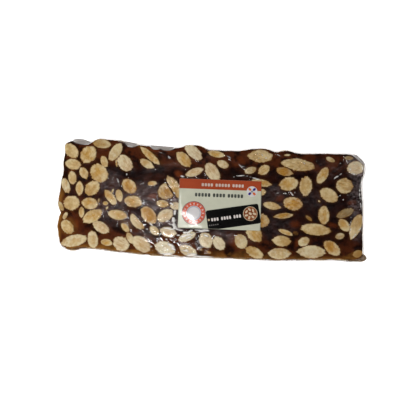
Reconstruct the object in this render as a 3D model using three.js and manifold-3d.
// A bar of dark almond nougat in tight clear film, with a paper label on its cut face.
// Millimetres, +Z up. The origin is the middle of the underside, X runs along the bar.
import * as THREE from "three";
import { mergeVertices } from "three/addons/utils/BufferGeometryUtils.js";
import Module from "manifold-3d";

// ---- Driving dimensions ----
const THICKNESS = 15; // caramel between the two cut faces
const EDGE_ROUND = 1.2; // rounding of the edges under the film
const RELIEF = 0.5; // height of a cut almond above the caramel
const PLUG_ROOT = 3; // how far an almond reaches below the caramel's face
const PLUG_PROUD = 3; // how far it stands out before it is trimmed
const ALMOND_SIDES = 12;
const SMALL_ALMOND = 6; // mm; shorter ones get fewer sides
const SMALL_ALMOND_SIDES = 8;
const OUTLINE_SAMPLES = 3; // points on each stretch between two outline points
const EDGE_ROUND_STEPS = 2;

const LABEL_LENGTH = 50.2;
const LABEL_WIDTH = 30.4;
const LABEL_THICKNESS = 0.25;
const LABEL_CORNER = 0.4;
const LABEL_CENTRE = [5.9, -1.3];
const LABEL_TURN = THREE.MathUtils.degToRad(0.7);

const FIN_BOTTOM = 3; // the folded end of the film's seam
const FIN_HEIGHT = 5;

// ---- Outline of the film, seen from above: [x, y] where each edge bends ----
const BACK_EDGE = [
  [-87, 34.5], [-81, 35.2], [-76, 33.9], [-70, 36.3], [-65, 36.3], [-58, 35.8],
  [-50, 34.5], [-42, 33.6], [-30, 33.2], [-22, 33.1], [-16, 34.7], [-9, 35.3],
  [-3, 33], [6, 32.9], [18, 33.5], [25, 34.9], [34, 35], [39, 33.7],
  [46, 34.7], [53, 33.4], [68, 34], [80, 34.3], [87.5, 33.9],
];
const RIGHT_EDGE = [
  [92.5, 30.2], [94.3, 26], [93.8, 21.5], [92.8, 18], [93.1, 9], [93.8, 1],
  [93.7, -13], [94.3, -24], [93.5, -28.8],
];
const FRONT_EDGE = [
  [90, -30.8], [78, -30.8], [60, -31.7], [42, -32.8], [20, -33], [0, -33.3],
  [-14, -33.6], [-27, -33.6], [-42, -33.1], [-56, -32.4], [-70, -31.3],
  [-78, -31.5], [-83, -32.6], [-88, -31.8],
];
const LEFT_EDGE = [
  [-90.4, -29], [-91.7, -23], [-92.6, -18.5], [-91.6, -13.5], [-90.8, -11],
  [-92, -8.5], [-93.1, -4], [-92.6, 3], [-92.1, 9], [-91.4, 15], [-91.9, 21],
  [-91, 27], [-91.2, 32],
];
const SEAM_FIN = [[88, -30.6], [93, -30], [96.4, -28.5], [96.2, -27.2], [92, -25]];

// ---- Almonds cut through by the upper face ----
// [x, y, length, width, turn in degrees, pointed ends]: "<" at its start, ">" at its far end
const TOP_ALMONDS = [
  [-87, 27.6, 11.5, 7.6, -45, ""], [-77, 25.8, 12, 10, 60, ""],
  [-85.3, 19.2, 10.3, 7, -10, ""], [-78.3, 14, 8.5, 5.3, -60, ">"],
  [-85.2, 10.8, 8.8, 5.3, -80, ""], [-88.8, 5.7, 10.5, 5, -68, ""],
  [-80.3, 4.5, 10, 5, -85, "<>"], [-69, 14.5, 13.5, 10.5, -50, ""],
  [-72.5, 5, 11, 8.5, 50, ""], [-67, 22, 8.3, 4.5, -70, ""],
  [-68.5, 33, 12, 6, -5, ""], [-84.5, -4.8, 10.5, 9.5, 0, ""],
  [-73.5, -4.5, 11, 7.5, -8, "<"], [-91, -7, 7, 3, -60, ""],
  [-78, -10.2, 7, 3.5, -88, ""], [-87.8, -12.8, 5, 2.6, 65, ""],
  [-71, -12.2, 14, 8, 32, ">"], [-86, -19.5, 10.5, 7, -50, ""],
  [-81.5, -27.8, 17.5, 7.5, 15, "<"], [-70, -26.5, 11.5, 6.7, -78, ""],
  [-65.5, -18.8, 12, 6.5, -30, ""], [-60.2, 28.5, 12.5, 7, 60, ""],
  [-53.5, 21.5, 12.5, 8.5, -50, ""], [-38.5, 27, 17.5, 4.5, -40, "<"],
  [-40, 21.7, 10.5, 5, -28, ">"], [-50, 7.3, 11, 8, -45, ""],
  [-36, 9.7, 6, 3, 10, ""], [-61, -0.2, 12, 5, -50, ""],
  [-55.8, 1.2, 8, 4.5, -75, ""], [-47, -2, 11.5, 7.5, -5, ""],
  [-56, -10.7, 12.5, 6.2, -8, ""], [-43.5, -14, 12, 5.5, -45, ""],
  [-37, -10, 13, 8.3, -50, ""], [-50.8, -18.3, 7, 3.8, -45, ""],
  [-61.5, -27.8, 7.5, 4.3, -8, ""], [-52.7, -28.2, 11, 9, -30, ""],
  [-47.5, -24.5, 8, 4, -60, ""], [-40.5, -27.8, 14, 8.5, -35, ""],
  [-33, -19.2, 7.5, 4.8, -40, ""], [-63.8, -4, 3.5, 2.5, 0, ""],
  [-17.5, 25.7, 12.5, 7, -45, ""], [-11.8, 30.5, 14.5, 7, -40, ""],
  [-10.5, 18, 12, 5, 22, ""], [0.5, 18.5, 14, 8, -55, ""],
  [2.3, 30, 11, 4.3, -10, ""], [-22.8, 8, 15, 7.5, -60, ""],
  [-28.7, 6, 10.5, 7.5, -30, ""], [-29, -2.5, 8, 4.8, -5, ""],
  [-27, -9.7, 11.5, 7.5, 35, ""], [-21, -3.5, 7, 5, 0, ""],
  [-24.5, -19.7, 11, 6.5, -10, ">"], [-13, -22, 12, 5.5, 25, ""],
  [-12, -30.5, 12, 6.5, -20, ""], [-26, -29.5, 13.5, 8.5, -15, ""],
  [-1.5, -23.5, 10.5, 8.5, -60, ""], [6.5, -25, 9.8, 7, -50, ""],
  [6.7, 23.8, 8, 5, -20, ""], [29.3, 30, 16.5, 8.3, 0, "<"],
  [32, 21.5, 8.2, 6, 40, ""], [23.8, 20.8, 8, 4.3, 20, ""],
  [31, 13.3, 13.5, 4.6, -8, ">"], [30.5, 7.5, 7, 4.5, 10, ""],
  [52.7, 25.8, 21.8, 8, -5, "<"], [44.8, 21, 11.3, 5.3, -12, ">"],
  [47.6, 13.6, 12.3, 8.8, 15, ""], [58, 12.5, 13.3, 8.2, 88, "<"],
  [50.5, 1.5, 12.5, 8.5, -8, ""], [68.2, 19.8, 12.2, 6, 62, ""],
  [72.7, 30, 6, 3, -22, ""], [72.3, 7.8, 12.5, 8.5, -28, ""],
  [81.7, 14, 11, 10, 0, ""], [88.3, 25.6, 11.3, 8.8, 15, ""],
  [84, 31.5, 6, 2.5, 0, ""], [37.8, -0.5, 11.8, 4.8, -10, ">"],
  [45, -6.3, 13.3, 3.6, 8, "<>"], [46.7, -16.3, 9.7, 3, -17, ""],
  [44.2, -21.7, 12, 7, -3, "<"], [43.3, -29.4, 14.5, 7, 3, ""],
  [60.5, -7, 5, 2, -38, ""], [65, -13.7, 20, 7.5, -3, ">"],
  [57.8, -21.4, 7.8, 5.5, 30, ""], [65.5, -27.2, 12.5, 7.6, 0, ""],
  [57.5, -28.3, 8.5, 4.8, 8, "<"], [69.5, -4.7, 12, 7.2, 92, ""],
  [82.5, -2.8, 12, 5, 25, ""], [82, -10.2, 9.5, 6, -50, ""],
  [89, -10.8, 17.5, 7, 70, "<"], [79.6, -17, 5.8, 4, 15, ""],
  [75, -24.5, 12.5, 7.5, -38, ""], [90.5, -27.2, 6.5, 4.5, 25, ""],
  [31.5, -9.8, 10.8, 8.7, -10, ""], [27.6, -17.9, 13.5, 9, -50, ">"],
  [19.8, -23.2, 9.8, 7.8, -60, ""], [28.2, -29.5, 12.5, 6.5, -25, ""],
];

// ---- Almonds cut through by the four sides, laid out by a rule ----
// along: unit vector of the side's run, reach: distance of the side from the middle
const SIDES = [
  { along: [1, 0, 0], reach: 32.3, run: 178, count: 14 },
  { along: [-1, 0, 0], reach: 33.5, run: 178, count: 14 },
  { along: [0, 1, 0], reach: 92.5, run: 58, count: 5 },
  { along: [0, -1, 0], reach: 91.5, run: 58, count: 5 },
];
const SIDE_ALMOND_LENGTH = [7.5, 13]; // shortest and longest
const SIDE_ALMOND_WIDTH = [4.8, 8.2];
const SIDE_ALMOND_HEIGHT = [5, 10]; // its centre above the underside
const SIDE_ALMOND_TURN = 45; // steepest, in degrees
const SIDE_DRIFT = 0.3; // share of the spacing that a place may drift

const FILM_COLOUR = 0x3a1c10;
const PAPER_COLOUR = 0xc9cdb8;

const wasm = await Module();
wasm.setup();

// The same even spread of values in 0..1 on every run.
function spread(index, step) {
  return (index * step) % 1;
}

function between([low, high], share) {
  return low + (high - low) * share;
}

// ---- Between three.js and the solid library ----
function solidFrom(geometry) {
  const bare = geometry.clone();
  bare.deleteAttribute("normal");
  bare.deleteAttribute("uv");
  const merged = mergeVertices(bare, 1e-4);
  return new wasm.Manifold(
    new wasm.Mesh({
      numProp: 3,
      vertProperties: merged.attributes.position.array,
      triVerts: new Uint32Array(merged.index.array),
    }),
  );
}

function geometryFrom(solid) {
  const mesh = solid.getMesh();
  const geometry = new THREE.BufferGeometry();
  geometry.setAttribute("position", new THREE.BufferAttribute(mesh.vertProperties, 3));
  geometry.setIndex(new THREE.BufferAttribute(mesh.triVerts, 1));
  return geometry.toNonIndexed();
}

function joined(solids) {
  return solids.reduce((whole, solid) => whole.add(solid));
}

// ---- The bar ----
function filmOutline() {
  const corners = [...BACK_EDGE, ...RIGHT_EDGE, ...FRONT_EDGE, ...LEFT_EDGE];
  const points = corners.map(([x, y]) => new THREE.Vector3(x, y, 0)).reverse();
  const curve = new THREE.CatmullRomCurve3(points, true, "centripetal");
  const ring = curve.getPoints(points.length * OUTLINE_SAMPLES).slice(0, -1);
  return new THREE.Shape(ring.map(({ x, y }) => new THREE.Vector2(x, y)));
}

// The slab inside the film, grown outwards and upwards by the given amount.
function slab(growth) {
  const geometry = new THREE.ExtrudeGeometry(filmOutline(), {
    depth: THICKNESS + growth - 2 * EDGE_ROUND,
    bevelThickness: EDGE_ROUND,
    bevelSize: EDGE_ROUND,
    bevelOffset: growth - EDGE_ROUND,
    bevelSegments: EDGE_ROUND_STEPS,
  });
  geometry.translate(0, 0, EDGE_ROUND);
  return solidFrom(geometry);
}

// Half an almond's width at u, which runs from -1 at its start to 1 at its far end.
function almondHalfWidth(u, width, ends) {
  const pointed = ends.includes(u < 0 ? "<" : ">");
  return (width / 2) * (1 - u * u) ** (pointed ? 0.85 : 0.5);
}

function almondShape(length, width, ends) {
  const sides = length < SMALL_ALMOND ? SMALL_ALMOND_SIDES : ALMOND_SIDES;
  const points = [];
  for (let i = 0; i < sides; i++) {
    const angle = (2 * Math.PI * (i + 0.5)) / sides;
    const u = Math.cos(angle);
    const v = Math.sign(Math.sin(angle)) * almondHalfWidth(u, width, ends);
    points.push(new THREE.Vector2((u * length) / 2, v));
  }
  return new THREE.Shape(points);
}

// A straight plug with an almond's outline, turned in its own face, its face at z = 0.
function almondPlug(length, width, turn, ends) {
  const geometry = new THREE.ExtrudeGeometry(almondShape(length, width, ends), {
    depth: PLUG_ROOT + PLUG_PROUD,
    bevelEnabled: false,
  });
  geometry.translate(0, 0, -PLUG_ROOT);
  return geometry.rotateZ(THREE.MathUtils.degToRad(turn));
}

function topPlugs() {
  return TOP_ALMONDS.map(([x, y, length, width, turn, ends]) =>
    solidFrom(almondPlug(length, width, turn, ends).translate(x, y, THICKNESS)),
  );
}

function sidePlugs({ along, reach, run, count }, side) {
  const tangent = new THREE.Vector3(...along);
  const up = new THREE.Vector3(0, 0, 1);
  const outward = new THREE.Vector3().crossVectors(tangent, up);
  const facing = new THREE.Matrix4().makeBasis(tangent, up, outward);
  const pitch = run / count;
  const plugs = [];
  for (let i = 0; i < count; i++) {
    const index = i + side * SIDES[0].count;
    const drift = (spread(index, 0.618034) - 0.5) * SIDE_DRIFT;
    const place = (i + 0.5 + drift) * pitch - run / 2;
    const height = between(SIDE_ALMOND_HEIGHT, spread(index, 0.7548777));
    const length = between(SIDE_ALMOND_LENGTH, spread(index, 0.5698403));
    const width = between(SIDE_ALMOND_WIDTH, spread(index, 0.8191725));
    const turn = (2 * spread(index, 0.6710436) - 1) * SIDE_ALMOND_TURN;
    const plug = almondPlug(length, width, turn, i % 3 === 0 ? ">" : "");
    plug.translate(place, height, reach);
    plugs.push(solidFrom(plug.applyMatrix4(facing)));
  }
  return plugs;
}

// The end of the film's seam, folded flat against the front corner of one end.
function seamFin() {
  const shape = new THREE.Shape(SEAM_FIN.map(([x, y]) => new THREE.Vector2(x, y)));
  const geometry = new THREE.ExtrudeGeometry(shape, {
    depth: FIN_HEIGHT,
    bevelEnabled: false,
  });
  return solidFrom(geometry.translate(0, 0, FIN_BOTTOM));
}

function wrappedBar() {
  const almonds = joined([...topPlugs(), ...SIDES.flatMap(sidePlugs)]);
  const relief = almonds.intersect(slab(RELIEF));
  const mesh = new THREE.Mesh(
    geometryFrom(slab(0).add(relief).add(seamFin())),
    new THREE.MeshStandardMaterial({ color: FILM_COLOUR, roughness: 0.2, metalness: 0 }),
  );
  mesh.name = "wrapped_bar";
  return mesh;
}

// ---- The label, flat on the highest almonds ----
function labelShape() {
  const [x, y, r] = [LABEL_LENGTH / 2, LABEL_WIDTH / 2, LABEL_CORNER];
  return new THREE.Shape()
    .absarc(x - r, y - r, r, 0, Math.PI / 2)
    .absarc(r - x, y - r, r, Math.PI / 2, Math.PI)
    .absarc(r - x, r - y, r, Math.PI, 1.5 * Math.PI)
    .absarc(x - r, r - y, r, 1.5 * Math.PI, 2 * Math.PI);
}

function label() {
  const mesh = new THREE.Mesh(
    new THREE.ExtrudeGeometry(labelShape(), {
      depth: LABEL_THICKNESS,
      bevelEnabled: false,
      curveSegments: 3,
    }),
    new THREE.MeshStandardMaterial({ color: PAPER_COLOUR, roughness: 0.5, metalness: 0 }),
  );
  mesh.name = "label";
  mesh.position.set(...LABEL_CENTRE, THICKNESS + RELIEF);
  mesh.rotation.z = LABEL_TURN;
  return mesh;
}

const nougatBar = new THREE.Group();
nougatBar.add(wrappedBar(), label());

export default nougatBar;
